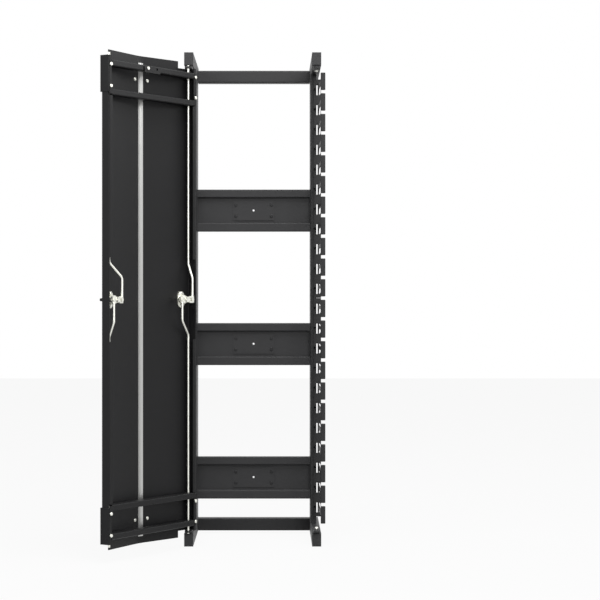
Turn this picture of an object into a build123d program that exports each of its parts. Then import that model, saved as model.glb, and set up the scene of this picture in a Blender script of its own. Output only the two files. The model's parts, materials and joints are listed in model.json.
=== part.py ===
from build123d import *
import os
from math import atan, cos, degrees, radians

# Vertical cable manager for a two-post or four-post rack, in millimetres.
# X runs across the face, Y from front to back, Z up.
# The origin is on the floor, under the middle of the rear crossbar.

# Overall size
manager_height = 1060.0
door_width = 300.0
rail_length = 310.0
cut_overrun = 5.0

# Rails, front to back at floor and top
rail_width = 19.5
rail_height = 28.5
rail_wall = 2.0
door_side_reach = 3.0
cap_head = 2.5
cap_chamfer = 1.5
cap_plug_length = 10.0
cap_plug_clearance = 0.2
rack_hole_radius = 3.5
rack_hole_spacing = 200.0

# Crossbars at the rear
crossbar_height = 28.0
crossbar_depth = 27.0
crossbar_sheet = 2.0
crossbar_bend = 3.0
top_crossbar_drop = 7.0
crossbar_bolt_setback = 8.0

# Posts between the rails
post_depth = 100.0
post_flange = 13.0
post_sheet = 2.0
post_bend = 3.0
post_setback = 25.0

# Cross panels between the posts
panel_height_shares = (0.12236, 0.40491, 0.68745)
cross_sheet = 1.5
cross_bend = 0.8
cross_setback = 6.0
cross_top_band = 18.0
cross_recess_height = 57.0
cross_bottom_band = 19.3
cross_recess_depth = 10.0
cross_edge_return = 12.0
cross_end_flange = 30.0
cross_screw_setback = 20.0
cross_screw_spacing = 60.0

# Spool plates on the cross panels
spool_plate_width = 93.0
spool_plate_height = 45.0
spool_plate_sheet = 2.0
spool_plate_corner = 2.0
spool_screw_span = 80.0
spool_screw_rise = 25.0
spool_hole_radius = 2.2

# Cable fingers
finger_pitch = 44.45
finger_lift = 2.8
finger_strip_inset = 6.5
finger_strip_width = 17.0
finger_strip_thickness = 5.0
finger_strip_joint = 0.25
finger_window_height = 22.4
finger_window_width = 9.5
finger_window_drop = 2.0
finger_window_round = 5.0
finger_screw_inset = 3.2
finger_screw_radius = 1.5
finger_screw_head_radius = 2.8
finger_arm_inset = 9.5
finger_arm_thickness = 3.0
finger_arm_height = 7.0
finger_arm_lift = 2.0
finger_gusset_length = 14.0
finger_tip_gap = 15.0
finger_flare = 2.7
finger_head_width = 10.1
finger_head_height = 37.5
finger_head_depth = 6.0
finger_head_round = 1.6

# Door leaf
door_gap = 30.0
door_ridge = 18.0
door_return = 20.0
door_lip = 10.5
door_lip_latch_gap = 85.0
door_sheet = 1.5
door_end_gap = 37.8
door_bend_radius = 1.2
door_rest_angle = 123.0

# Centre strip
strip_front_width = 25.0
strip_back_width = 16.0
strip_sheet = 1.0
strip_web = 4.0
strip_ridge_radius = 25.0
strip_cover_gap = 0.05
strip_slot_clearance = 1.1

# Header and footer covers
cover_height = 73.7
cover_sheet = 1.5
cover_lip = 9.0
cover_tab_width = 240.5
cover_tab_rise = 15.1
cover_ridge_radius = 125.0
cover_bend_radius = 1.0

# Bars inside the header and footer
bar_height = 12.5
bar_sheet = 1.5
bar_bend = 0.8
bar_flange = 18.5
bar_end_inset = 1.5
bar_flange_inset = 9.5
outer_bar_drop = 9.7
inner_bar_drop = 67.7
bar_tab_height = 10.5
bar_tab_width = 9.0
outer_bar_screw_drop = 18.7
inner_bar_screw_drop = 62.5

# Badge and clip
badge_width = 36.5
badge_drop = 29.6
badge_proud = 1.0
clip_width = 54.0
clip_height = 13.0
clip_sheet = 2.0
clip_middle_x = 9.5
clip_hole_offset = 15.5
clip_hole_radius = 3.0
clip_top_margin = 2.0

# Cover screws through the door panels
cover_screw_offset = 21.5
cover_screw_drop = 35.7

# Rods, which are the hinge pins and the lock bolts
rod_radius = 2.5
rod_depth = 9.0
rod_tip_gap = 31.0
rod_running_clearance = 0.05
rod_straight = 45.0
rod_joggle = 30.0
rod_bend_radius = 12.0
guide_wall = 1.45
guide_collar = 1.5
guide_collar_height = 1.0
flange_hole_margin = 0.9

# Pivot plates
pivot_plate_width = 15.0
pivot_plate_thickness = 3.0
pivot_plate_gap = 5.5
pivot_plate_length = 68.0
pivot_nose_share = 0.49
pivot_spacer_length = 36.0
pivot_spacer_setback = 2.0
pivot_bolt_setback = 23.0
pivot_bolt_spacing = 14.0
pivot_bush_wall = 2.0
pivot_bush_collar = 1.2

# Latches
knob_edge_gap = 27.0
knob_radius = 16.5
knob_base = 5.0
knob_wing_height = 7.5
knob_wing_thickness = 5.5
knob_gap = 0.3
knob_edge_round = 1.5
knob_turn = 45.0
spindle_radius = 4.0
spindle_socket = 4.5
spindle_thread_radius = 3.0
housing_length = 14.2
housing_flange = 3.0
housing_flange_height = 34.0
housing_flange_width = 20.0
housing_barrel_radius = 9.0
housing_screw_spacing = 25.0
panel_spindle_margin = 0.5
crank_radius = 16.0
crank_thickness = 3.0
crank_width = 12.0
crank_gap = 0.3
crank_pin_radius = 2.5
crank_pin_head_radius = 3.8
crank_pin_head = 1.2
crank_nut_height = 5.0
crank_nut_radius = 5.7
eye_thickness = 3.0
eye_side_wall = 2.0
eye_end_wall = 4.0
eye_slot_clearance = 0.3
eye_lift_clearance = 0.6
rod_end_rise = 5.2

# Fasteners
small_screw_radius = 2.0
small_head_radius = 3.5
small_head_height = 2.2
bolt_radius = 3.0
bolt_head_radius = 5.2
bolt_head_height = 3.3
nut_height = 5.0
nut_radius = 5.7
nut_sides = 6
screw_clearance = 0.15
screw_tail = 4.0

# Places that follow from the sizes above
channel_width = door_width - 2 * (rail_width + door_side_reach)
half_channel = channel_width / 2
rail_x = half_channel + rail_width / 2
rear_y = crossbar_depth / 2
rail_front_y = rear_y - rail_length
rail_middle_y = rear_y - rail_length / 2
top_rail_z = manager_height - rail_height
middle_z = manager_height / 2
post_rear_y = rear_y - post_setback
post_front_y = post_rear_y - post_depth
finger_tip_y = rail_front_y + finger_tip_gap
cross_front_y = post_front_y + cross_setback
cross_height = cross_top_band + cross_recess_height + cross_bottom_band
door_edge_y = rail_front_y - door_gap
half_door = door_width / 2
door_slope = atan(door_ridge / half_door)
door_bottom_z = door_end_gap
door_top_z = manager_height - door_end_gap
ridge_difference = cover_ridge_radius - cover_sheet - strip_ridge_radius
cover_stand = strip_sheet + strip_cover_gap + ridge_difference * (1 / cos(door_slope) - 1)
half_cover = half_door + cover_sheet
cover_lip_y = door_edge_y + door_return
bar_face_y = cover_lip_y + bar_sheet
hinge_y = door_edge_y + rod_depth
rod_tip_z = manager_height - rod_tip_gap
knob_x = half_door - knob_edge_gap
sides = (-1, 1)


def block(x, y, z):
    """A box between the low and high values of x, y and z."""
    size = Box(x[1] - x[0], y[1] - y[0], z[1] - z[0])
    return Pos(sum(x) / 2, sum(y) / 2, sum(z) / 2) * size


def rod_along_x(radius, start, length, y, z):
    return Pos(start + length / 2, y, z) * Rot(0, 90, 0) * Cylinder(radius, abs(length))


def rod_along_y(radius, start, length, x, z):
    return Pos(x, start + length / 2, z) * Rot(90, 0, 0) * Cylinder(radius, abs(length))


def rod_along_z(radius, start, length, x, y):
    return Pos(x, y, start + length / 2) * Cylinder(radius, abs(length))


def sheet_section(points, thickness, radii, side=Side.LEFT):
    """The section of a bent sheet whose outer or inner face follows the points."""
    line = FilletPolyline(*points, radius=radii)
    outline = offset(line, amount=thickness, side=side)
    return make_face(outline.edges())


def across(section, start, end):
    """Extrude a section drawn in Y and Z from one X to another."""
    body = extrude(Plane.YZ * section, amount=end - start, dir=(1, 0, 0))
    return Pos(start, 0, 0) * body


def upwards(section, start, end):
    """Extrude a section drawn in X and Y from one Z to another."""
    return Pos(0, 0, start) * extrude(section, amount=end - start, dir=(0, 0, 1))


def left_right(shape):
    """The shape and its mirror image across the middle of the manager."""
    return [shape, mirror(shape, about=Plane.YZ)]


def upside_down(shape):
    """The shape's mirror image across the manager's mid-height."""
    return mirror(shape, about=Plane.XY.offset(middle_z))


def top_bottom(shape):
    return [shape, upside_down(shape)]


def group(shapes):
    solids = [solid for shape in shapes for solid in shape.solids()]
    return Compound(children=solids)


def door_face_y(x):
    """The Y of the door panels' outer face, which is a shallow V in plan."""
    return door_edge_y - door_ridge * (1 - abs(x) / half_door)


def screw(head_radius, head_height, shank_radius, shank_length):
    """A pan-head screw along +Y, its head's seat at the origin and its head on the low side."""
    head = rod_along_y(head_radius, 0, -head_height, 0, 0)
    rim = head.faces().sort_by(Axis.Y)[0].edges()
    head = fillet(rim, head_height / 2)
    return head + rod_along_y(shank_radius, 0, shank_length, 0, 0)


# Rails and their end caps
def rail_tube(x, low_z):
    front = rail_front_y + cap_head
    rear = rear_y - cap_head
    outside = block((x - rail_width / 2, x + rail_width / 2), (front, rear), (low_z, low_z + rail_height))
    inside = block(
        (x - rail_width / 2 + rail_wall, x + rail_width / 2 - rail_wall),
        (front - cut_overrun, rear + cut_overrun),
        (low_z + rail_wall, low_z + rail_height - rail_wall),
    )
    corners = outside.edges().filter_by(Axis.Y)
    tube = fillet(corners, rail_wall / 2) - inside
    hole_z = low_z + rail_height / 2
    for y in (rail_middle_y - rack_hole_spacing / 2, rail_middle_y + rack_hole_spacing / 2):
        drill = rod_along_x(rack_hole_radius, x - rail_width, 2 * rail_width, y, hole_z)
        tube = tube - drill
    return tube


def rail_cap(x, low_z, front):
    """One end plug: a chamfered head against the tube's end and a plug inside it."""
    outer_y = rail_front_y if front else rear_y
    inward = 1 if front else -1
    head_end = outer_y + inward * cap_head
    plug_end = head_end + inward * cap_plug_length
    gap = rail_wall + cap_plug_clearance
    head = block(
        (x - rail_width / 2, x + rail_width / 2),
        sorted((outer_y, head_end)),
        (low_z, low_z + rail_height),
    )
    outer_face = head.faces().sort_by(Axis.Y)[0 if front else -1]
    head = chamfer(outer_face.edges(), cap_chamfer)
    plug = block(
        (x - rail_width / 2 + gap, x + rail_width / 2 - gap),
        sorted((head_end, plug_end)),
        (low_z + gap, low_z + rail_height - gap),
    )
    return head + plug


# Posts
def post(sign):
    """A channel whose web faces the cable space and whose flanges point outwards."""
    inner = sign * half_channel
    outer = sign * (half_channel + post_flange)
    points = [(outer, post_front_y), (inner, post_front_y), (inner, post_rear_y), (outer, post_rear_y)]
    side = Side.RIGHT if sign > 0 else Side.LEFT
    section = sheet_section(points, post_sheet, post_bend, side)
    channel = upwards(section, rail_height, top_rail_z)
    for z in panel_centres:
        for screw_z in (z - cross_screw_spacing / 2, z + cross_screw_spacing / 2):
            drill_start = sign * (half_channel - cut_overrun)
            hole = rod_along_x(
                small_screw_radius + screw_clearance,
                drill_start,
                sign * (post_sheet + 2 * cut_overrun),
                cross_screw_y,
                screw_z,
            )
            channel = channel - hole
    for z in finger_centres:
        hole = rod_along_y(
            finger_screw_radius + screw_clearance,
            post_front_y - cut_overrun,
            post_sheet + 2 * cut_overrun,
            sign * finger_screw_x,
            z,
        )
        channel = channel - hole
    return channel


# Crossbars
def crossbar(low_z, bolt_z):
    front = -crossbar_depth / 2
    high_z = low_z + crossbar_height
    points = [(rear_y, low_z), (front, low_z), (front, high_z), (rear_y, high_z)]
    section = sheet_section(points, crossbar_sheet, crossbar_bend, Side.RIGHT)
    channel = across(section, -half_channel, half_channel)
    for sign in sides:
        tab = block(
            sorted((sign * half_channel, sign * (half_channel - crossbar_sheet))),
            (front + crossbar_sheet / 2, rear_y),
            (low_z + crossbar_sheet / 2, high_z - crossbar_sheet / 2),
        )
        channel = channel + tab
        hole = rod_along_x(
            bolt_radius + screw_clearance,
            sign * (half_channel - cut_overrun),
            sign * 2 * cut_overrun,
            crossbar_bolt_y,
            bolt_z,
        )
        channel = channel - hole
    return channel


def crossbar_bolt(sign, z):
    """A bolt through the crossbar's end tab and the rail's inner wall, with its nut."""
    seat = sign * (half_channel - crossbar_sheet)
    grip = crossbar_sheet + rail_wall
    turn = 90 if sign > 0 else -90
    bolt = screw(bolt_head_radius, bolt_head_height, bolt_radius, grip + nut_height)
    bolt = Pos(seat, crossbar_bolt_y, z) * Rot(0, 0, -turn) * bolt
    nut = extrude(RegularPolygon(nut_radius, nut_sides), amount=nut_height)
    nut = nut - Cylinder(bolt_radius + screw_clearance, 2 * (nut_height + cut_overrun))
    nut = Pos(seat + sign * grip, crossbar_bolt_y, z) * Rot(0, sign * 90, 0) * nut
    return [bolt, nut]


def rail_bolt_hole(sign, z):
    return rod_along_x(
        bolt_radius + screw_clearance,
        sign * (half_channel - cut_overrun),
        sign * 2 * cut_overrun,
        crossbar_bolt_y,
        z,
    )


# Cross panels and spool plates
def cross_panel(centre_z):
    low = centre_z - cross_height / 2
    step_low = low + cross_bottom_band
    step_high = step_low + cross_recess_height
    high = low + cross_height
    front = cross_front_y
    back = front + cross_recess_depth
    points = [
        (front + cross_edge_return, low),
        (front, low),
        (front, step_low),
        (back, step_low),
        (back, step_high),
        (front, step_high),
        (front, high),
        (front + cross_edge_return, high),
    ]
    convex = cross_bend + cross_sheet
    radii = [convex, convex, cross_bend, cross_bend, convex, convex]
    section = sheet_section(points, cross_sheet, radii, Side.RIGHT)
    panel = across(section, -half_channel, half_channel)
    for sign in sides:
        flange = block(
            sorted((sign * half_channel, sign * (half_channel - cross_sheet))),
            (front, front + cross_end_flange),
            (low, high),
        )
        panel = panel + flange
        for z in (centre_z - cross_screw_spacing / 2, centre_z + cross_screw_spacing / 2):
            hole = rod_along_x(
                small_screw_radius + screw_clearance,
                sign * (half_channel - cut_overrun),
                sign * 2 * cut_overrun,
                cross_screw_y,
                z,
            )
            panel = panel - hole
    for x, z in spool_screw_places(centre_z):
        panel = panel - rod_along_y(small_screw_radius + screw_clearance, front, cross_end_flange, x, z)
    return panel - rod_along_y(spool_hole_radius, front, cross_end_flange, 0, spool_centre_z(centre_z))


def cross_panel_screw(sign, z):
    seat = sign * (half_channel - cross_sheet)
    length = cross_sheet + post_sheet + screw_tail
    shape = screw(small_head_radius, small_head_height, small_screw_radius, length)
    return Pos(seat, cross_screw_y, z) * Rot(0, 0, -sign * 90) * shape


def spool_centre_z(centre_z):
    return centre_z - cross_height / 2 + cross_bottom_band + cross_recess_height / 2


def spool_screw_places(centre_z):
    middle = spool_centre_z(centre_z)
    return [
        (sx * spool_screw_span / 2, middle + sz * spool_screw_rise / 2) for sx in sides for sz in sides
    ]


def spool_plate(centre_z):
    middle = spool_centre_z(centre_z)
    plate_front = cross_front_y + cross_recess_depth - spool_plate_sheet
    plate = block(
        (-spool_plate_width / 2, spool_plate_width / 2),
        (plate_front, plate_front + spool_plate_sheet),
        (middle - spool_plate_height / 2, middle + spool_plate_height / 2),
    )
    plate = fillet(plate.edges().filter_by(Axis.Y), spool_plate_corner)
    for x, z in spool_screw_places(centre_z):
        hole = rod_along_y(
            small_screw_radius + screw_clearance, plate_front - cut_overrun, 2 * cut_overrun, x, z
        )
        plate = plate - hole
    hole = rod_along_y(spool_hole_radius, plate_front - cut_overrun, 2 * cut_overrun, 0, middle)
    return plate - hole


def spool_plate_screws(centre_z):
    seat = cross_front_y + cross_recess_depth - spool_plate_sheet
    length = spool_plate_sheet + cross_sheet + screw_tail
    shape = screw(small_head_radius, small_head_height, small_screw_radius, length)
    return [Pos(x, seat, z) * shape for x, z in spool_screw_places(centre_z)]


# Cable fingers
def finger():
    """The right-hand finger at height zero: a straight arm with an upright head on its end."""
    root_y = post_front_y - finger_strip_thickness
    root_x = finger_strip_x + finger_arm_inset
    plan = make_face(
        Polyline(
            (root_x, root_y),
            (root_x + finger_arm_thickness, root_y),
            (root_x + finger_arm_thickness + finger_flare, finger_tip_y + finger_head_depth / 2),
            (root_x + finger_flare, finger_tip_y + finger_head_depth / 2),
            close=True,
        )
    )
    half_arm = finger_arm_height / 2
    half_root = finger_window_height / 2
    arm = Pos(0, 0, -finger_pitch / 2) * extrude(plan, amount=finger_pitch, dir=(0, 0, 1))
    side_view = make_face(
        Polyline(
            (root_y, finger_arm_lift + half_root),
            (root_y - finger_gusset_length, finger_arm_lift + half_arm),
            (finger_tip_y, finger_arm_lift + half_arm),
            (finger_tip_y, finger_arm_lift - half_arm),
            (root_y - finger_gusset_length, finger_arm_lift - half_arm),
            (root_y, finger_arm_lift - half_root),
            close=True,
        )
    )
    arm = arm & across(side_view, half_channel, half_channel + rail_length)
    head_x = root_x + finger_flare
    head = block(
        (head_x, head_x + finger_head_width),
        (finger_tip_y, finger_tip_y + finger_head_depth),
        (-finger_head_height / 2, finger_head_height / 2),
    )
    return arm + fillet(head.edges(), finger_head_round)


def finger_run(centres):
    """One moulding: a strip on the right post, with a finger across each of its windows."""
    root_y = post_front_y - finger_strip_thickness
    half_pitch = finger_pitch / 2 - finger_strip_joint
    strip = block(
        (finger_strip_x, finger_strip_x + finger_strip_width),
        (root_y, post_front_y),
        (centres[0] - half_pitch, centres[-1] + half_pitch),
    )
    window = block(
        (post_flange_x, post_flange_x + finger_window_width),
        (root_y - cut_overrun, post_front_y + cut_overrun),
        (-finger_window_height / 2, finger_window_height / 2),
    )
    window = fillet(window.edges().filter_by(Axis.Y).group_by(Axis.X)[-1], finger_window_round)
    rib = block(
        (finger_strip_x + finger_arm_inset, finger_strip_x + finger_arm_inset + finger_arm_thickness),
        (root_y, post_front_y),
        (-finger_window_height / 2, finger_window_height / 2),
    )
    window = window - rib
    right_finger = finger()
    for z in centres:
        strip = strip - Pos(0, 0, z - finger_window_drop) * window
        strip = strip - rod_along_y(
            finger_screw_radius + screw_clearance, root_y - cut_overrun, 3 * cut_overrun, finger_screw_x, z
        )
        strip = strip + Pos(0, 0, z) * right_finger
    return strip


def finger_screw(sign, z):
    seat = post_front_y - finger_strip_thickness
    length = finger_strip_thickness + post_sheet + screw_tail
    shape = screw(finger_screw_head_radius, small_head_height, finger_screw_radius, length)
    return Pos(sign * finger_screw_x, seat, z) * shape


# Pivot plates, drawn at the top right
def pivot_plate():
    low = top_rail_z - pivot_plate_gap - pivot_plate_thickness
    front = hinge_y - pivot_plate_width / 2
    plate = block(
        (rail_x - pivot_plate_width / 2, rail_x + pivot_plate_width / 2),
        (front, front + pivot_plate_length),
        (low, low + pivot_plate_thickness),
    )
    round_edges = plate.edges().filter_by(Axis.Z).group_by(Axis.Y)[0]
    plate = fillet(round_edges, pivot_nose_share * pivot_plate_width)
    depth = pivot_plate_thickness + 2 * cut_overrun
    plate = plate - rod_along_z(pivot_bush_radius, low - cut_overrun, depth, rail_x, hinge_y)
    for y in pivot_bolt_ys:
        plate = plate - pivot_drill(y)
    return plate


def pivot_drill(y):
    stack = pivot_plate_thickness + pivot_plate_gap
    depth = stack + rail_wall + 2 * cut_overrun
    start = top_rail_z - stack - cut_overrun
    return rod_along_z(small_screw_radius + screw_clearance, start, depth, rail_x, y)


def pivot_spacer():
    spacer = block(
        (rail_x - pivot_plate_width / 2, rail_x + pivot_plate_width / 2),
        (pivot_spacer_front_y, pivot_spacer_front_y + pivot_spacer_length),
        (top_rail_z - pivot_plate_gap, top_rail_z),
    )
    for y in pivot_bolt_ys:
        spacer = spacer - pivot_drill(y)
    return spacer


def pivot_bolts():
    seat = top_rail_z - pivot_plate_gap - pivot_plate_thickness
    length = pivot_plate_thickness + pivot_plate_gap + rail_wall + screw_tail
    shape = Rot(90, 0, 0) * screw(small_head_radius, small_head_height, small_screw_radius, length)
    return [Pos(rail_x, y, seat) * shape for y in pivot_bolt_ys]


def pivot_bush():
    low = top_rail_z - pivot_plate_gap - pivot_plate_thickness
    body = rod_along_z(pivot_bush_radius, low, pivot_plate_thickness, rail_x, hinge_y)
    collar_radius = pivot_bush_radius + pivot_bush_collar
    collar = rod_along_z(collar_radius, low + pivot_plate_thickness, pivot_bush_collar, rail_x, hinge_y)
    depth = pivot_plate_thickness + pivot_bush_collar + 2 * cut_overrun
    bore = rod_along_z(rod_radius + rod_running_clearance, low - cut_overrun, depth, rail_x, hinge_y)
    return body + collar - bore


# Door panels and centre strip
def panel_section(return_depth, lip):
    """The section of the right panel, whose edge returns and may turn in again as a lip."""
    inner = strip_web / 2 + strip_slot_clearance
    points = [
        (inner, door_face_y(inner)),
        (half_door, door_edge_y),
        (half_door, door_edge_y + return_depth),
    ]
    if lip:
        points.append((half_door - lip, door_edge_y + return_depth))
    return sheet_section(points, door_sheet, door_bend_radius + door_sheet)


def right_door_panel():
    """The return is shorter inside the covers, and its lip stops short of the latch."""
    under_cover = panel_section(door_return - cover_sheet - cover_bend_radius, 0)
    lipped = panel_section(door_return, door_lip)
    lip_end_z = middle_z + door_lip_latch_gap
    panel = upwards(panel_section(door_return, 0), 2 * middle_z - lip_end_z, lip_end_z)
    for piece in top_bottom(upwards(lipped, lip_end_z, panel_cover_z)):
        panel = panel + piece
    for piece in top_bottom(upwards(under_cover, panel_cover_z, door_top_z)):
        panel = panel + piece
    spot = latch_place(1)
    panel = panel - spot * rod_along_y(
        spindle_radius + panel_spindle_margin, -cut_overrun, 2 * cut_overrun, 0, 0
    )
    screw_hole = rod_along_y(small_screw_radius + screw_clearance, -cut_overrun, 2 * cut_overrun, 0, 0)
    for end in sides:
        panel = panel - spot * Pos(0, 0, end * housing_screw_spacing / 2) * screw_hole
    for hole in top_bottom(cover_screw_hole()):
        panel = panel - hole
    return panel


def vee_sheet(half_width, front_stand, thickness, radius):
    """A V-shaped sheet section in front of the door panels' outer face."""
    shift = -front_stand / cos(door_slope)
    points = [
        (-half_width, door_face_y(half_width) + shift),
        (0, door_face_y(0) + shift),
        (half_width, door_face_y(half_width) + shift),
    ]
    return sheet_section(points, thickness, radius)


def centre_strip():
    """An H-shaped extrusion whose slots hold the inner edges of both door panels."""
    front = vee_sheet(strip_front_width / 2, strip_sheet, strip_sheet, strip_ridge_radius)
    back = vee_sheet(strip_back_width / 2, -door_sheet, strip_sheet, strip_ridge_radius)
    web_front = door_face_y(0) - strip_sheet / 2
    web_back = door_face_y(0) + door_sheet + strip_sheet
    web = Pos(0, (web_front + web_back) / 2) * Rectangle(strip_web, web_back - web_front)
    return upwards(front + web + back, door_bottom_z, door_top_z)


# Header cover; the footer cover is the same part upside down
def header_cover():
    low = door_top_z - cover_height
    high = door_top_z + cover_tab_rise
    front_stand = cover_stand + cover_sheet
    shift = -front_stand / cos(door_slope)
    corner_y = door_face_y(half_cover) + shift
    points = [
        (-half_cover + cover_lip, cover_lip_y),
        (-half_cover, cover_lip_y),
        (-half_cover, corner_y),
        (0, door_face_y(0) + shift),
        (half_cover, corner_y),
        (half_cover, cover_lip_y),
        (half_cover - cover_lip, cover_lip_y),
    ]
    bend = cover_bend_radius + cover_sheet
    section = sheet_section(points, cover_sheet, [bend, bend, cover_ridge_radius, bend, bend])
    cover = upwards(section, low, high)
    for sign in sides:
        corner = block(
            sorted((sign * cover_tab_width / 2, sign * door_width)),
            (corner_y - door_ridge - cut_overrun, cover_lip_y + cut_overrun),
            (door_top_z, high + cut_overrun),
        )
        cover = cover - corner
        cover = cover - rod_along_y(
            small_screw_radius + screw_clearance,
            cover_lip_y - cut_overrun,
            2 * cut_overrun,
            sign * bar_screw_x,
            door_top_z - outer_bar_screw_drop,
        )
        cover = cover - rod_along_y(
            small_screw_radius + screw_clearance,
            cover_lip_y - cut_overrun,
            2 * cut_overrun,
            sign * bar_screw_x,
            door_top_z - inner_bar_screw_drop,
        )
    for hole in left_right(cover_screw_hole()):
        cover = cover - hole
    return cover


def cover_screw_place():
    """Where a cover screw goes through the right door panel, turned with its slope."""
    z = door_top_z - cover_screw_drop
    turn = Rot(0, 0, degrees(door_slope))
    return Pos(cover_screw_offset, door_face_y(cover_screw_offset), z) * turn


def cover_screw_hole():
    depth = cut_overrun + door_sheet + cover_stand + cover_sheet / 2
    hole = rod_along_y(small_screw_radius + screw_clearance, door_sheet + cut_overrun, -depth, 0, 0)
    return cover_screw_place() * hole


def cover_screw():
    length = door_sheet + cover_stand + cover_sheet / 2
    shape = screw(small_head_radius, small_head_height, small_screw_radius, length)
    return cover_screw_place() * Pos(0, door_sheet, 0) * Rot(0, 0, 180) * shape


# Bars across the inside of the header and footer
def cover_bar(drop, screw_drop, tab):
    high = door_top_z - drop
    low = high - bar_height
    flange_tip = bar_face_y - bar_flange
    points = [(flange_tip, low), (bar_face_y, low), (bar_face_y, high), (flange_tip, high)]
    section = sheet_section(points, bar_sheet, bar_bend + bar_sheet)
    half_bar = half_cover - bar_end_inset
    half_flange = half_cover - bar_flange_inset
    bar = across(section, -half_flange, half_flange)
    for sign in sides:
        bar = bar + block(
            sorted((sign * half_bar, sign * (half_flange - bar_sheet))),
            (cover_lip_y, bar_face_y),
            (low + bar_bend + bar_sheet, high - bar_bend - bar_sheet),
        )
        if tab:
            bar = bar + block(
                sorted((sign * half_bar, sign * (half_bar - bar_tab_width))),
                (cover_lip_y, bar_face_y),
                (high - bar_height / 2, high + bar_tab_height),
            )
        bar = bar - rod_along_y(
            small_screw_radius + screw_clearance,
            cover_lip_y - cut_overrun,
            2 * cut_overrun,
            sign * bar_screw_x,
            door_top_z - screw_drop,
        )
        x = sign * rail_x
        bar = bar - rod_along_z(guide_radius, high - bar_height / 2, bar_height, x, hinge_y)
        bar = bar - rod_along_z(rod_radius + flange_hole_margin, low - bar_height / 2, bar_height, x, hinge_y)
    return bar


def bar_screws(drop):
    length = bar_sheet + cover_sheet
    shape = Rot(0, 0, 180) * screw(small_head_radius, small_head_height, small_screw_radius, length)
    return [Pos(sign * bar_screw_x, bar_face_y, door_top_z - drop) * shape for sign in sides]


def guide_bush(drop):
    """A guide for one rod in a bar's upper flange."""
    top = door_top_z - drop
    bottom = top - bar_sheet
    x = rail_x
    bush = rod_along_z(guide_radius, bottom, bar_sheet, x, hinge_y)
    bush = bush + rod_along_z(guide_radius + guide_collar, top, guide_collar_height, x, hinge_y)
    depth = bar_sheet + guide_collar_height + 2 * cut_overrun
    return bush - rod_along_z(rod_radius + rod_running_clearance, bottom - cut_overrun, depth, x, hinge_y)


def header_clip():
    high = door_top_z - outer_bar_drop - clip_top_margin
    clip = block(
        (clip_middle_x - clip_width / 2, clip_middle_x + clip_width / 2),
        (bar_face_y, bar_face_y + clip_sheet),
        (high - clip_height, high),
    )
    clip = fillet(clip.edges().filter_by(Axis.Y), clip_sheet)
    for sign, radius in ((-1, clip_hole_radius), (1, small_screw_radius + screw_clearance)):
        clip = clip - clip_drill(sign, radius)
    return clip


def clip_drill(sign, radius):
    z = door_top_z - outer_bar_drop - bar_height / 2
    x = clip_middle_x + sign * clip_hole_offset
    return rod_along_y(radius, bar_face_y - cut_overrun, 2 * cut_overrun, x, z)


def clip_screw():
    z = door_top_z - outer_bar_drop - bar_height / 2
    length = clip_sheet + bar_sheet + screw_tail
    shape = screw(small_head_radius, small_head_height, small_screw_radius, length)
    return Pos(clip_middle_x + clip_hole_offset, bar_face_y + clip_sheet, z) * Rot(0, 0, 180) * shape


def badge_plate():
    """A plain square plate whose back follows the header's rounded ridge."""
    z = door_top_z - badge_drop
    shift = -(cover_stand + cover_sheet) / cos(door_slope)
    points = [
        (-half_cover, door_face_y(half_cover) + shift),
        (0, door_face_y(0) + shift),
        (half_cover, door_face_y(half_cover) + shift),
    ]
    line = FilletPolyline(*points, radius=cover_ridge_radius)
    crest_y = line.bounding_box().min.Y
    back_y = crest_y + cover_stand + cover_sheet + door_ridge
    rim = Polyline(line @ 1, (half_cover, back_y), (-half_cover, back_y), line @ 0)
    behind = make_face(line.edges() + rim.edges())
    plate = block(
        (-badge_width / 2, badge_width / 2),
        (crest_y - badge_proud, crest_y + door_ridge / 4),
        (z - badge_width / 2, z + badge_width / 2),
    )
    return plate - upwards(behind, z - badge_width, z + badge_width)


# Latches, each drawn at the origin with its outer panel face at Y zero
def latch_place(sign):
    """The place and slope of the panel's outer face at one knob."""
    return Pos(sign * knob_x, door_face_y(knob_x), middle_z) * Rot(0, 0, sign * degrees(door_slope))


def knob():
    base = rod_along_y(knob_radius, -knob_gap, -knob_base, 0, 0)
    base = fillet(base.faces().sort_by(Axis.Y)[0].edges(), knob_edge_round)
    wing = block(
        (-knob_radius, knob_radius),
        (-knob_gap - knob_base - knob_wing_height, -knob_gap - knob_base / 2),
        (-knob_wing_thickness / 2, knob_wing_thickness / 2),
    )
    wing = wing & rod_along_y(knob_radius, 0, -2 * (knob_base + knob_wing_height), 0, 0)
    wing = fillet(wing.faces().sort_by(Axis.Y)[0].edges(), knob_edge_round)
    socket = rod_along_y(spindle_radius, 0, -knob_gap - spindle_socket, 0, 0)
    return base + wing - socket


def spindle():
    back = door_sheet + housing_length + crank_gap
    shaft = rod_along_y(spindle_radius, -knob_gap - spindle_socket, back + knob_gap + spindle_socket, 0, 0)
    thread = rod_along_y(spindle_thread_radius, back, crank_thickness + crank_nut_height + crank_gap, 0, 0)
    return shaft + thread


def latch_housing():
    flange = extrude(
        Plane.XZ * SlotOverall(housing_flange_height, housing_flange_width, rotation=90),
        amount=housing_flange,
        dir=(0, 1, 0),
    )
    flange = Pos(0, door_sheet, 0) * flange
    barrel = rod_along_y(housing_barrel_radius, door_sheet, housing_length, 0, 0)
    rim = barrel.faces().sort_by(Axis.Y)[-1].edges()
    barrel = chamfer(rim, crank_pin_head)
    bore = rod_along_y(spindle_radius + rod_running_clearance, 0, 2 * housing_length, 0, 0)
    housing = flange + barrel - bore
    for z in sides:
        housing = housing - rod_along_y(
            small_screw_radius + screw_clearance, 0, housing_length, 0, z * housing_screw_spacing / 2
        )
    return housing


def housing_screws():
    seat = door_sheet + housing_flange
    shape = Rot(0, 0, 180) * screw(small_head_radius, small_head_height, small_screw_radius, seat)
    return [Pos(0, seat, z * housing_screw_spacing / 2) * shape for z in sides]


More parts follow.
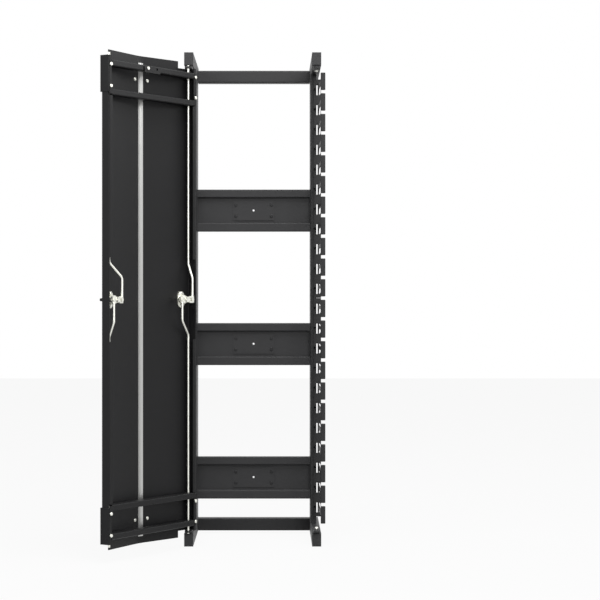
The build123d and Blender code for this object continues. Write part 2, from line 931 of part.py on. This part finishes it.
def crank():
    front = crank_front
    bar = extrude(
        Plane.XZ * SlotOverall(2 * crank_radius + crank_width, crank_width),
        amount=crank_thickness,
        dir=(0, 1, 0),
    )
    bar = Pos(0, front, 0) * bar
    back = front + crank_thickness
    for sign in sides:
        pin_length = 2 * crank_gap + eye_thickness
        x = sign * crank_radius
        bar = bar + rod_along_y(crank_pin_radius, back, pin_length, x, 0)
        bar = bar + rod_along_y(crank_pin_head_radius, back + pin_length, crank_pin_head, x, 0)
    depth = crank_thickness + 2 * cut_overrun
    return bar - rod_along_y(spindle_thread_radius + screw_clearance, front - cut_overrun, depth, 0, 0)


def crank_nut():
    section = Plane.XZ * RegularPolygon(crank_nut_radius, nut_sides)
    nut = extrude(section, amount=crank_nut_height, dir=(0, 1, 0))
    nut = Pos(0, crank_front + crank_thickness, 0) * nut
    depth = crank_thickness + crank_nut_height + 2 * cut_overrun
    return nut - rod_along_y(spindle_thread_radius + screw_clearance, crank_front - cut_overrun, depth, 0, 0)


def rod(sign, end):
    """One rod: end 1 is the upper rod and -1 the lower; it hooks on the crank by a slotted eye."""
    place = latch_place(sign)
    pin_x = -end * crank_radius
    drawn_x = -end * crank_radius * cos(radians(knob_turn))
    slot_length = abs(pin_x - drawn_x) + 2 * (crank_pin_radius + eye_slot_clearance)
    slot_height = 2 * (crank_pin_radius + eye_lift_clearance)
    eye = Rectangle(slot_length + 2 * eye_side_wall, slot_height + 2 * eye_end_wall)
    eye = fillet(eye.vertices(), eye_side_wall)
    eye = eye - SlotOverall(slot_length, slot_height)
    eye = extrude(Plane.XZ * eye, amount=eye_thickness, dir=(0, 1, 0))
    eye_front = crank_front + crank_thickness + crank_gap
    eye = place * Pos((pin_x + drawn_x) / 2, eye_front, 0) * eye
    rod_y = eye_front + rod_radius + crank_gap / 2
    start = (place * Pos(pin_x, rod_y, 0)).position
    low_z = middle_z + end * rod_end_rise
    points = [
        (start.X, start.Y, low_z),
        (start.X, start.Y, middle_z + end * rod_straight),
        (sign * rail_x, hinge_y, middle_z + end * (rod_straight + rod_joggle)),
        (sign * rail_x, hinge_y, middle_z + end * (rod_tip_z - middle_z)),
    ]
    path = FilletPolyline(*points, radius=rod_bend_radius)
    profile = Plane(origin=points[0], z_dir=(0, 0, end)) * Circle(rod_radius)
    wire = sweep(profile, path=path)
    tip = wire.faces().sort_by(Axis.Z)[-1 if end > 0 else 0]
    wire = chamfer(tip.edges(), rod_radius / 4)
    return eye + wire


# Places shared by several pieces
panel_centres = [share * manager_height for share in panel_height_shares]
finger_room = top_rail_z - rail_height - finger_head_height
fingers_per_side = 1 + int(finger_room / finger_pitch)
fingers_in_lower_run = fingers_per_side // 2
first_finger_z = middle_z + finger_lift - finger_pitch * (fingers_per_side - 1) / 2
finger_centres = [first_finger_z + i * finger_pitch for i in range(fingers_per_side)]
finger_strip_x = half_channel + finger_strip_inset
post_flange_x = half_channel + post_flange
finger_screw_x = finger_strip_x + finger_screw_inset
cross_screw_y = cross_front_y + cross_screw_setback
crossbar_bolt_y = -crossbar_depth / 2 + crossbar_bolt_setback
low_bolt_z = crossbar_height / 2
top_crossbar_z = manager_height - top_crossbar_drop - crossbar_height
high_bolt_z = (top_rail_z + top_crossbar_z + crossbar_height) / 2
pivot_spacer_front_y = rail_front_y + pivot_spacer_setback
pivot_bolt_middle_y = rail_front_y + pivot_bolt_setback
pivot_bolt_ys = [pivot_bolt_middle_y + s * pivot_bolt_spacing / 2 for s in sides]
bar_screw_x = half_cover - cover_sheet - small_head_radius
guide_radius = rod_radius + rod_running_clearance + guide_wall
pivot_bush_radius = rod_radius + rod_running_clearance + pivot_bush_wall
crank_front = door_sheet + housing_length + crank_gap
panel_cover_z = door_top_z - inner_bar_drop - bar_height - cover_bend_radius


def frame_nodes():
    nodes = {}
    for sign, name in ((-1, "left"), (1, "right")):
        x = sign * rail_x
        low = rail_tube(x, 0) - rail_bolt_hole(sign, low_bolt_z)
        high = rail_tube(x, top_rail_z) - rail_bolt_hole(sign, high_bolt_z)
        for y in pivot_bolt_ys:
            drill = pivot_drill(y)
            if sign < 0:
                drill = mirror(drill, about=Plane.YZ)
            high = high - drill
            low = low - upside_down(drill)
        nodes[name + "_bottom_rail"] = low
        nodes[name + "_top_rail"] = high
        nodes[name + "_post"] = post(sign)
    nodes["rail_end_caps"] = group(
        [rail_cap(s * rail_x, z, front) for s in sides for z in (0, top_rail_z) for front in (True, False)]
    )
    nodes["bottom_crossbar"] = crossbar(0, low_bolt_z)
    nodes["top_crossbar"] = crossbar(top_crossbar_z, high_bolt_z)
    bolts = [crossbar_bolt(s, z) for s in sides for z in (low_bolt_z, high_bolt_z)]
    nodes["crossbar_bolts"] = group([piece for pair in bolts for piece in pair])
    for name, z in zip(("lower", "middle", "upper"), panel_centres):
        nodes[name + "_cross_panel"] = cross_panel(z)
        nodes[name + "_spool_plate"] = spool_plate(z)
    rows = (-cross_screw_spacing / 2, cross_screw_spacing / 2)
    nodes["cross_panel_screws"] = group(
        [cross_panel_screw(s, z + row) for s in sides for z in panel_centres for row in rows]
    )
    nodes["spool_plate_screws"] = group([one for z in panel_centres for one in spool_plate_screws(z)])
    lower_run = finger_centres[:fingers_in_lower_run]
    upper_run = finger_centres[fingers_in_lower_run:]
    for name, run in (("lower", lower_run), ("upper", upper_run)):
        moulding = finger_run(run)
        nodes["right_" + name + "_fingers"] = moulding
        nodes["left_" + name + "_fingers"] = mirror(moulding, about=Plane.YZ)
    nodes["finger_screws"] = group([finger_screw(s, z) for s in sides for z in finger_centres])
    for name, plate in zip(("right", "left"), left_right(pivot_plate())):
        nodes[name + "_top_pivot_plate"] = plate
        nodes[name + "_bottom_pivot_plate"] = upside_down(plate)
    for name, shapes in (
        ("pivot_spacers", [pivot_spacer()]),
        ("pivot_bushes", [pivot_bush()]),
        ("pivot_bolts", pivot_bolts()),
    ):
        halves = [half for shape in shapes for half in left_right(shape)]
        nodes[name] = group([end for half in halves for end in top_bottom(half)])
    return nodes


def door_nodes():
    """The door with its latches, drawn closed."""
    nodes = {}
    right_panel = right_door_panel()
    nodes["right_door_panel"] = right_panel
    nodes["left_door_panel"] = mirror(right_panel, about=Plane.YZ)
    nodes["centre_strip"] = centre_strip()
    nodes["header_cover"] = header_cover()
    nodes["footer_cover"] = upside_down(nodes["header_cover"])
    nodes["badge_plate"] = badge_plate()
    top_bar = cover_bar(outer_bar_drop, outer_bar_screw_drop, False)
    nodes["header_top_bar"] = top_bar - clip_drill(1, small_screw_radius + screw_clearance)
    nodes["footer_bottom_bar"] = upside_down(top_bar)
    lower_bar = cover_bar(inner_bar_drop, inner_bar_screw_drop, True)
    nodes["header_lower_bar"] = lower_bar
    nodes["footer_upper_bar"] = upside_down(lower_bar)
    screws = bar_screws(outer_bar_screw_drop) + bar_screws(inner_bar_screw_drop)
    nodes["bar_screws"] = group([end for one in screws for end in top_bottom(one)] + [clip_screw()])
    cover_screws = [end for half in left_right(cover_screw()) for end in top_bottom(half)]
    nodes["cover_screws"] = group(cover_screws)
    nodes["header_clip"] = header_clip()
    bushes = [half for drop in (outer_bar_drop, inner_bar_drop) for half in left_right(guide_bush(drop))]
    nodes["rod_guide_bushes"] = group([end for bush in bushes for end in top_bottom(bush)])
    latch_screws = []
    for sign, name in ((-1, "left"), (1, "right")):
        place = latch_place(sign)
        nodes[name + "_latch_housing"] = place * latch_housing()
        latch_screws = latch_screws + [place * one for one in housing_screws()]
        nodes[name + "_knob"] = place * knob()
        nodes[name + "_spindle"] = place * spindle()
        nodes[name + "_crank"] = place * crank()
        nodes[name + "_crank_nut"] = place * crank_nut()
        nodes[name + "_upper_rod"] = rod(sign, 1)
        nodes[name + "_lower_rod"] = rod(sign, -1)
    nodes["latch_screws"] = group(latch_screws)
    return nodes


os.makedirs("parts", exist_ok=True)
swing = Pos(-rail_x, hinge_y, 0) * Rot(0, 0, -door_rest_angle) * Pos(rail_x, -hinge_y, 0)
nodes = frame_nodes()
for name, shape in door_nodes().items():
    nodes[name] = swing * shape
for name, shape in nodes.items():
    export_step(shape, "parts/" + name + ".step")
print(len(nodes), "pieces written")
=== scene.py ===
import bpy
import bmesh
import json
import math
from mathutils import Matrix, Vector


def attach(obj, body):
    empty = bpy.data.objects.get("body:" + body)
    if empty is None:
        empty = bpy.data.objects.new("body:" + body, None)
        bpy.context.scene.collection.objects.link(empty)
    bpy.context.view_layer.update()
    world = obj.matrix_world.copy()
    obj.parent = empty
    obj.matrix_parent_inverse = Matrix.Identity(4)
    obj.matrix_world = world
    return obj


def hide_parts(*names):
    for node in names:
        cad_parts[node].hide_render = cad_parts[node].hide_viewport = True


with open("model.json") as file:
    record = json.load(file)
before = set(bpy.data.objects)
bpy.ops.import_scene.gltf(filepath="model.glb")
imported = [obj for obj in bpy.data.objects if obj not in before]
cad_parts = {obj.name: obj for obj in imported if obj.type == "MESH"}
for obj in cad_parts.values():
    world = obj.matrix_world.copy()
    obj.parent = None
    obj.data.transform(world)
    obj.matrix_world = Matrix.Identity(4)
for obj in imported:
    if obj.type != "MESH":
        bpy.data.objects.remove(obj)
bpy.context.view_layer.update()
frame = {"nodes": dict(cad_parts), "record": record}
nodes = frame["nodes"]
scene = bpy.context.scene
mm = 0.001


# colours and shader nodes

def linear(hexColour):  # sRGB hex to the linear colour that shaders take
    parts = [int(hexColour[i:i + 2], 16) / 255 for i in (1, 3, 5)]
    return [c / 12.92 if c <= 0.04045 else ((c + 0.055) / 1.055) ** 2.4 for c in parts] + [1]


# a setting that starts in lower case is an attribute of the node, any other is an input
def addNode(tree, kind, settings=None, links=None):
    node = tree.nodes.new(kind)
    for key, value in (settings or {}).items():
        if isinstance(key, str) and key[0].islower():
            setattr(node, key, value)
        else:
            node.inputs[key].default_value = value
    for key, socket in (links or {}).items():
        tree.links.new(socket, node.inputs[key])
    return node


def newMaterial(name):
    material = bpy.data.materials.new(name)
    material.use_nodes = True
    material.node_tree.nodes.clear()
    return material, material.node_tree


def finishMaterial(tree, shader):
    addNode(tree, "ShaderNodeOutputMaterial", links={"Surface": shader.outputs[0]})


# painted steel: polyester powder coat, cured to a satin film with a faint orange peel

powderCoat = {
    "pattern": 2.6,  # orange peel is about 1 mm; drawn coarser so that it shows at this distance
    "peelDepth": 0.10,
    "peelHeight": 0.3,
    "patchSize": 160,
    "glossSpread": (-0.05, 0.06),
    "ior": 1.5,
}


# a low sheen holds down how much of the white around it the black film gives back
def makePowderCoat(name, dark, light, roughness, sheen):
    material, tree = newMaterial(name)
    place = addNode(tree, "ShaderNodeTexCoord").outputs["Object"]
    patches = addNode(tree, "ShaderNodeTexNoise",
                      {"Scale": 1 / (powderCoat["patchSize"] * mm), "Detail": 3.0}, {"Vector": place})
    peel = addNode(tree, "ShaderNodeTexNoise",
                   {"Scale": 1 / (powderCoat["pattern"] * mm), "Detail": 2.0}, {"Vector": place})
    tone = addNode(tree, "ShaderNodeMix", {"data_type": "RGBA", 6: linear(dark), 7: linear(light)},
                   {0: patches.outputs["Fac"]})
    low, high = powderCoat["glossSpread"]
    gloss = addNode(tree, "ShaderNodeMapRange", {"To Min": roughness + low, "To Max": roughness + high},
                    {"Value": patches.outputs["Fac"]})
    bump = addNode(tree, "ShaderNodeBump",
                   {"Strength": powderCoat["peelDepth"], "Distance": powderCoat["peelHeight"] * mm},
                   {"Height": peel.outputs["Fac"]})
    shader = addNode(tree, "ShaderNodeBsdfPrincipled",
                     {"IOR": powderCoat["ior"], "Specular IOR Level": sheen},
                     {"Base Color": tone.outputs[2], "Roughness": gloss.outputs[0],
                      "Normal": bump.outputs[0]})
    finishMaterial(tree, shader)
    return material


# bright zinc plate on steel: a pale grey metal with faint cloudy patches

zincPlate = {"cloud": 9, "grain": 0.9, "grainDepth": 0.12, "grainHeight": 0.1, "glossSpread": (-0.08, 0.10)}


def makeZincPlate(name, dark, light, roughness):
    material, tree = newMaterial(name)
    place = addNode(tree, "ShaderNodeTexCoord").outputs["Object"]
    cloud = addNode(tree, "ShaderNodeTexNoise", {"Scale": 1 / (zincPlate["cloud"] * mm), "Detail": 4.0},
                    {"Vector": place})
    grain = addNode(tree, "ShaderNodeTexNoise", {"Scale": 1 / (zincPlate["grain"] * mm), "Detail": 1.0},
                    {"Vector": place})
    tone = addNode(tree, "ShaderNodeMix", {"data_type": "RGBA", 6: linear(dark), 7: linear(light)},
                   {0: cloud.outputs["Fac"]})
    low, high = zincPlate["glossSpread"]
    gloss = addNode(tree, "ShaderNodeMapRange", {"To Min": roughness + low, "To Max": roughness + high},
                    {"Value": cloud.outputs["Fac"]})
    bump = addNode(tree, "ShaderNodeBump",
                   {"Strength": zincPlate["grainDepth"], "Distance": zincPlate["grainHeight"] * mm},
                   {"Height": grain.outputs["Fac"]})
    shader = addNode(tree, "ShaderNodeBsdfPrincipled", {"Metallic": 1.0},
                     {"Base Color": tone.outputs[2], "Roughness": gloss.outputs[0],
                      "Normal": bump.outputs[0]})
    finishMaterial(tree, shader)
    return material


# satin anodised aluminium: drawn lines run along the extrusion, which here stands upright

anodised = {"lineWidth": 0.8, "lineLength": 260, "lineDepth": 0.10, "lineHeight": 0.1, "roughness": 0.36}


def makeAnodisedAluminium(name, dark, light):
    material, tree = newMaterial(name)
    place = addNode(tree, "ShaderNodeTexCoord").outputs["Object"]
    across, along = 1 / (anodised["lineWidth"] * mm), 1 / (anodised["lineLength"] * mm)
    stretch = addNode(tree, "ShaderNodeMapping", {"Scale": (across, across, along)}, {"Vector": place})
    lines = addNode(tree, "ShaderNodeTexNoise", {"Scale": 1.0, "Detail": 2.0}, {"Vector": stretch.outputs[0]})
    tone = addNode(tree, "ShaderNodeMix", {"data_type": "RGBA", 6: linear(dark), 7: linear(light)},
                   {0: lines.outputs["Fac"]})
    bump = addNode(tree, "ShaderNodeBump",
                   {"Strength": anodised["lineDepth"], "Distance": anodised["lineHeight"] * mm},
                   {"Height": lines.outputs["Fac"]})
    shader = addNode(tree, "ShaderNodeBsdfPrincipled", {"Metallic": 1.0, "Roughness": anodised["roughness"]},
                     {"Base Color": tone.outputs[2], "Normal": bump.outputs[0]})
    finishMaterial(tree, shader)
    return material


# moulded plastic: nylon and ABS from a spark-eroded tool, so a fine even grain

mouldedPlastic = {
    "grain": 1.1, "grainDepth": 0.16, "grainHeight": 0.2,
    "flowSize": 40,
    "ior": 1.49,
    "sheen": 0.24,  # black mouldings give back little of the white around them
}


def makeMouldedPlastic(name, dark, light, roughness):
    material, tree = newMaterial(name)
    place = addNode(tree, "ShaderNodeTexCoord").outputs["Object"]
    grain = addNode(tree, "ShaderNodeTexNoise",
                    {"Scale": 1 / (mouldedPlastic["grain"] * mm), "Detail": 3.0}, {"Vector": place})
    flow = addNode(tree, "ShaderNodeTexNoise",
                   {"Scale": 1 / (mouldedPlastic["flowSize"] * mm), "Detail": 2.0}, {"Vector": place})
    tone = addNode(tree, "ShaderNodeMix", {"data_type": "RGBA", 6: linear(dark), 7: linear(light)},
                   {0: flow.outputs["Fac"]})
    bump = addNode(tree, "ShaderNodeBump",
                   {"Strength": mouldedPlastic["grainDepth"], "Distance": mouldedPlastic["grainHeight"] * mm},
                   {"Height": grain.outputs["Fac"]})
    shader = addNode(tree, "ShaderNodeBsdfPrincipled",
                     {"IOR": mouldedPlastic["ior"], "Roughness": roughness,
                      "Specular IOR Level": mouldedPlastic["sheen"]},
                     {"Base Color": tone.outputs[2], "Normal": bump.outputs[0]})
    finishMaterial(tree, shader)
    return material


# black oxide on the screws is dull and dark, so it is drawn like a moulding and not like a metal
finishes = {
    "frame_powder_coat": makePowderCoat("framePowderCoat", "#29292a", "#303031", 0.44, 0.20),
    # the door's copy of the charcoal powder coat has a darker base than the frame's: painted shade, standing
    # in for the shade on the inside of the open door
    "door_powder_coat": makePowderCoat("doorPowderCoatPaintedShade", "#161617", "#1c1c1d", 0.42, 0.15),
    "finger_plastic": makeMouldedPlastic("fingerNylon", "#1d1d1e", "#242425", 0.46),
    "cap_plastic": makeMouldedPlastic("capPolythene", "#2c2c2d", "#343435", 0.50),
    "knob_plastic": makeMouldedPlastic("knobAbs", "#101012", "#161618", 0.34),
    "zinc_plate": makeZincPlate("brightZincPlate", "#e2e2da", "#f4f4ec", 0.42),
    "strip_aluminium": makeAnodisedAluminium("satinAnodisedAluminium", "#b4b4b2", "#c8c8c6"),
    "badge_gloss": makeMouldedPlastic("badgeGlossAcrylic", "#08080a", "#0c0c0e", 0.12),
    "bush_nylon": makeMouldedPlastic("bushNylon", "#1a1a1c", "#222226", 0.45),
    "black_screws": makeMouldedPlastic("blackOxideSteel", "#19191a", "#232324", 0.35),
}
for part in frame["record"]["subparts"]:
    mesh = nodes[part["node"]].data
    mesh.materials.clear()
    mesh.materials.append(finishes[part["material_slot"]])
print("materials made:", len(finishes))


# places on the door, given closed and in millimetres, and turned to the angle at which it stands open

door = {"edge": -326.5, "ridge": 18.0, "halfWidth": 150.0, "hinge": (-137.25, -317.5), "openAngle": 123}
doorHinge = Vector((*door["hinge"], 0))
doorTurn = (Matrix.Scale(mm, 4) @ Matrix.Translation(doorHinge)
            @ Matrix.Rotation(math.radians(-door["openAngle"]), 4, "Z") @ Matrix.Translation(-doorHinge))
fixedPlace = Matrix.Scale(mm, 4)


weldGap = {"profile": 0.001, "piece": 0.002}  # millimetres


def addPiece(name, bm, node, slotName, body, smoothAngle=35):
    bmesh.ops.remove_doubles(bm, verts=bm.verts[:], dist=weldGap["piece"] * mm)
    bmesh.ops.recalc_face_normals(bm, faces=bm.faces[:])
    for face in bm.faces:
        face.smooth = True
    for edge in bm.edges:
        edge.smooth = edge.calc_face_angle(0) < math.radians(smoothAngle)
    mesh = bpy.data.meshes.new(name)
    bm.to_mesh(mesh)
    bm.free()
    mesh.materials.append(finishes[slotName])
    piece = bpy.data.objects.new(name, mesh)
    scene.collection.objects.link(piece)
    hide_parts(node)
    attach(piece, body)
    print("piece made:", name, len(mesh.polygons), "faces")


def spinProfile(bm, profile, steps):  # points of (radius, y), turned about the local y axis
    ring = [bm.verts.new((radius, y, 0)) for radius, y in profile]
    edges = [bm.edges.new(pair) for pair in zip(ring, ring[1:])]
    bmesh.ops.spin(bm, geom=ring + edges, axis=(0, 1, 0), cent=(0, 0, 0), dvec=(0, 0, 0),
                   angle=2 * math.pi, steps=steps, use_merge=True)
    bmesh.ops.remove_doubles(bm, verts=bm.verts[:], dist=weldGap["profile"])


# knobs: a dished round base with a grip bar across it

knob = {
    "fromMiddle": 123.0, "height": 530.0, "steps": 72,
    "profile": [(0, -0.3), (16.0, -0.3), (16.5, -0.7), (16.5, -3.6), (16.3, -4.4), (15.8, -5.0), (15.1, -5.3),
                (14.3, -5.2), (13.6, -4.6), (13.0, -3.5), (12.0, -2.7), (10.6, -2.4), (0, -2.2)],
    "barLength": 30.4, "barFoot": 8.4, "barTop": 5.2, "barHeight": 12.8,
    "barSunk": 1.5, "barTaper": 0.92,
    "barRound": 1.1, "roundSteps": 4,
}


def makeKnob(side):
    bm = bmesh.new()
    spinProfile(bm, knob["profile"], knob["steps"])
    bar = bmesh.ops.create_cube(bm, size=1)["verts"]
    bmesh.ops.translate(bm, vec=(0, -0.5, 0), verts=bar)  # stands on its foot, at y = 0
    bmesh.ops.scale(bm, vec=(knob["barLength"], knob["barHeight"] - knob["barSunk"], knob["barFoot"]),
                    verts=bar)
    bmesh.ops.translate(bm, vec=(0, -knob["barSunk"], 0), verts=bar)
    tip = [v for v in bar if v.co.y < -knob["barHeight"] / 2]
    bmesh.ops.scale(bm, vec=(knob["barTaper"], 1, knob["barTop"] / knob["barFoot"]), verts=tip)
    rounded = [e for e in bm.edges if e.verts[0] in bar and any(v in tip for v in e.verts)]
    bmesh.ops.bevel(bm, geom=rounded, offset=knob["barRound"], offset_type="OFFSET", affect="EDGES",
                    segments=knob["roundSteps"], profile=0.5, material=-1)
    x = side * knob["fromMiddle"]
    faceY = door["edge"] - door["ridge"] * (1 - knob["fromMiddle"] / door["halfWidth"])
    slope = math.atan(door["ridge"] / door["halfWidth"])
    place = Matrix.Translation((x, faceY, knob["height"])) @ Matrix.Rotation(side * slope, 4, "Z")
    bmesh.ops.transform(bm, matrix=doorTurn @ place, verts=bm.verts[:])
    name = "left" if side < 0 else "right"
    addPiece(name + "KnobMoulding", bm, name + "_knob", "knob_plastic", name + "_knob")


for side in (-1, 1):
    makeKnob(side)


# the fingers' pan-head screws: a square grid holds the cross recess, and a ring of 24 rounds it off

fingerScrew = {
    "x": 137.2, "y": -116.5, "pitch": 44.45, "middle": 532.8, "count": 22,
    "turnStep": 0.7,  # each is driven home at another angle
    "cell": 0.62, "recessDepth": 1.1,
    "sides": 24, "rimShare": 0.86, "crownGrowth": 1.10, "crownDrop": 0.25, "shoulderDrop": 0.35,
    "head": 2.8, "height": 2.2, "shank": 1.5, "length": 11.0,
    "tipShare": 0.6, "tipLength": 0.8,
    "smoothAngle": 30,
}


def growRing(bm, edges, factor, shift):
    grown = bmesh.ops.extrude_edge_only(bm, edges=edges)["geom"]
    ring = [v for v in grown if isinstance(v, bmesh.types.BMVert)]
    bmesh.ops.scale(bm, vec=(factor, factor, 1), verts=ring)
    bmesh.ops.translate(bm, vec=(0, 0, shift), verts=ring)
    fresh = set(ring)
    return [e for e in grown if isinstance(e, bmesh.types.BMEdge) and set(e.verts) <= fresh]


# drawn with its head up along z, then turned so that the head faces local -y
def addScrew(bm, kind, place):
    cell, head = kind["cell"], kind["head"]
    one = bmesh.new()
    bmesh.ops.create_grid(one, x_segments=6, y_segments=6, size=3 * cell)
    cross = [f for f in one.faces if min(abs(c) for c in f.calc_center_median().xy) < cell
             and max(abs(c) for c in f.calc_center_median().xy) < 2 * cell]
    square = [e for e in one.edges if e.is_boundary]
    sunk = bmesh.ops.extrude_face_region(one, geom=cross)["geom"]
    bmesh.ops.delete(one, geom=cross, context="FACES_ONLY")
    low = [v for v in sunk if isinstance(v, bmesh.types.BMVert)]
    bmesh.ops.translate(one, vec=(0, 0, -kind["recessDepth"]), verts=low)
    rim = bmesh.ops.create_circle(one, segments=kind["sides"], radius=head * kind["rimShare"])["verts"]
    bmesh.ops.rotate(one, cent=(0, 0, 0), matrix=Matrix.Rotation(math.radians(45), 3, "Z"), verts=rim)
    ring = [e for e in one.edges if e.verts[0] in rim and e.verts[1] in rim]
    bmesh.ops.bridge_loops(one, edges=square + ring)
    crownSides = (
        (kind["crownGrowth"], -kind["crownDrop"]),
        (1.0 / (kind["rimShare"] * kind["crownGrowth"]), -kind["shoulderDrop"]),
        (1.0, kind["crownDrop"] + kind["shoulderDrop"] - kind["height"]),
    )
    shankSides = (
        (kind["shank"] / head, 0),
        (1.0, kind["tipLength"] - kind["length"]),
        (kind["tipShare"], -kind["tipLength"]),
    )
    for factor, shift in crownSides + shankSides:
        ring = growRing(one, ring, factor, shift)
    bmesh.ops.edgeloop_fill(one, edges=ring)
    bmesh.ops.recalc_face_normals(one, faces=one.faces[:])
    bmesh.ops.translate(one, vec=(0, 0, kind["height"]), verts=one.verts[:])
    bmesh.ops.transform(one, matrix=place @ Matrix.Rotation(math.radians(90), 4, "X"), verts=one.verts[:])
    mesh = bpy.data.meshes.new("oneScrew")
    one.to_mesh(mesh)
    one.free()
    bm.from_mesh(mesh)
    bpy.data.meshes.remove(mesh)


bm = bmesh.new()
for i in range(fingerScrew["count"]):
    z = fingerScrew["middle"] + (i - (fingerScrew["count"] - 1) / 2) * fingerScrew["pitch"]
    for side in (-1, 1):
        spot = Matrix.Translation((side * fingerScrew["x"], fingerScrew["y"], z))
        driven = Matrix.Rotation(fingerScrew["turnStep"] * i, 4, "Y")
        addScrew(bm, fingerScrew, fixedPlace @ spot @ driven)
addPiece("fingerPanScrews", bm, "finger_screws", "black_screws", "frame", fingerScrew["smoothAngle"])


# camera at the photograph's place: level, in front, with the picture's centre shifted to the manager

view = {
    "focalPixels": 1939.6,
    "place": (0.0427, -4.4543, 0.5414),
    "axisPixel": (272.6, 294.1),
    "pictureSize": 600,
}
lens = bpy.data.cameras.new("photoCamera")
lens.sensor_fit = "HORIZONTAL"
lens.lens = view["focalPixels"] / view["pictureSize"] * lens.sensor_width
lens.shift_x = (view["pictureSize"] / 2 - view["axisPixel"][0]) / view["pictureSize"]
lens.shift_y = (view["axisPixel"][1] - view["pictureSize"] / 2) / view["pictureSize"]
camera = bpy.data.objects.new("photoCamera", lens)
camera.location = view["place"]
camera.rotation_euler = (math.radians(90), 0, 0)
scene.collection.objects.link(camera)
scene.camera = camera


# studio: surroundings that look white but light the object softly, with four boxes as the lamps

studio = {
    "skyLight": 0.20,
    "floorSize": 16.0,
    "floorColour": "#b4b4b4",
    "floorGlow": 0.93,  # the rest stays matt and takes the shadow
    "boxes": {
        "topBox": {"place": (0.4, -1.6, 3.3), "aim": (0, -0.2, 0.6), "size": 2.0, "watts": 110},
        "keyBox": {"place": (1.3, -5.0, 2.0), "aim": (0, -0.2, 0.8), "size": 1.4, "watts": 85},
        "sideBox": {"place": (2.7, 0.75, 1.9), "aim": (0, -0.2, 0.9), "size": 1.2, "watts": 18},
        "leftBox": {"place": (-2.6, -2.8, 2.2), "aim": (0, -0.2, 0.6), "size": 1.4, "watts": 50},
    },
}


def softBox(name, box):
    data = bpy.data.lights.new(name, "AREA")
    data.shape, data.size, data.energy = "SQUARE", box["size"], box["watts"]
    lamp = bpy.data.objects.new(name, data)
    lamp.location = box["place"]
    lamp.rotation_euler = (Vector(box["aim"]) - Vector(box["place"])).to_track_quat("-Z", "Y").to_euler()
    scene.collection.objects.link(lamp)


for name, box in studio["boxes"].items():
    softBox(name, box)


# 1 for the rays that should meet the white surroundings, 0 for those that carry light
def whiteRays(tree):
    path = addNode(tree, "ShaderNodeLightPath").outputs
    seen = path["Is Camera Ray"]
    for kind in ("Is Glossy Ray", "Is Transmission Ray"):
        seen = addNode(tree, "ShaderNodeMath", {"operation": "MAXIMUM"}, {0: seen, 1: path[kind]}).outputs[0]
    return seen


world = bpy.data.worlds.new("studioWorld")
scene.world = world
world.use_nodes = True
world.node_tree.nodes.clear()
skyStrength = addNode(world.node_tree, "ShaderNodeMapRange",
                      {"To Min": studio["skyLight"], "To Max": 1.0},
                      {"Value": whiteRays(world.node_tree)})
sky = addNode(world.node_tree, "ShaderNodeBackground", {"Color": (1, 1, 1, 1)},
              {"Strength": skyStrength.outputs[0]})
addNode(world.node_tree, "ShaderNodeOutputWorld", links={"Surface": sky.outputs[0]})

bm = bmesh.new()
bmesh.ops.create_grid(bm, x_segments=1, y_segments=1, size=studio["floorSize"] / 2)
floorMesh = bpy.data.meshes.new("studioFloor")
bm.to_mesh(floorMesh)
bm.free()
floor = bpy.data.objects.new("studioFloor", floorMesh)
scene.collection.objects.link(floor)
floorPaint, floorTree = newMaterial("studioFloorPaint")
matt = addNode(floorTree, "ShaderNodeBsdfDiffuse", {"Color": linear(studio["floorColour"])})
glow = addNode(floorTree, "ShaderNodeEmission", {"Color": (1, 1, 1, 1), "Strength": 1.0})
share = addNode(floorTree, "ShaderNodeMath", {"operation": "MULTIPLY", 1: studio["floorGlow"]},
                {0: whiteRays(floorTree)})
floorMix = addNode(floorTree, "ShaderNodeMixShader",
                   links={0: share.outputs[0], 1: matt.outputs[0], 2: glow.outputs[0]})
finishMaterial(floorTree, floorMix)
floorMesh.materials.append(floorPaint)
print("camera and studio set")

scene.view_settings.view_transform = "Standard"
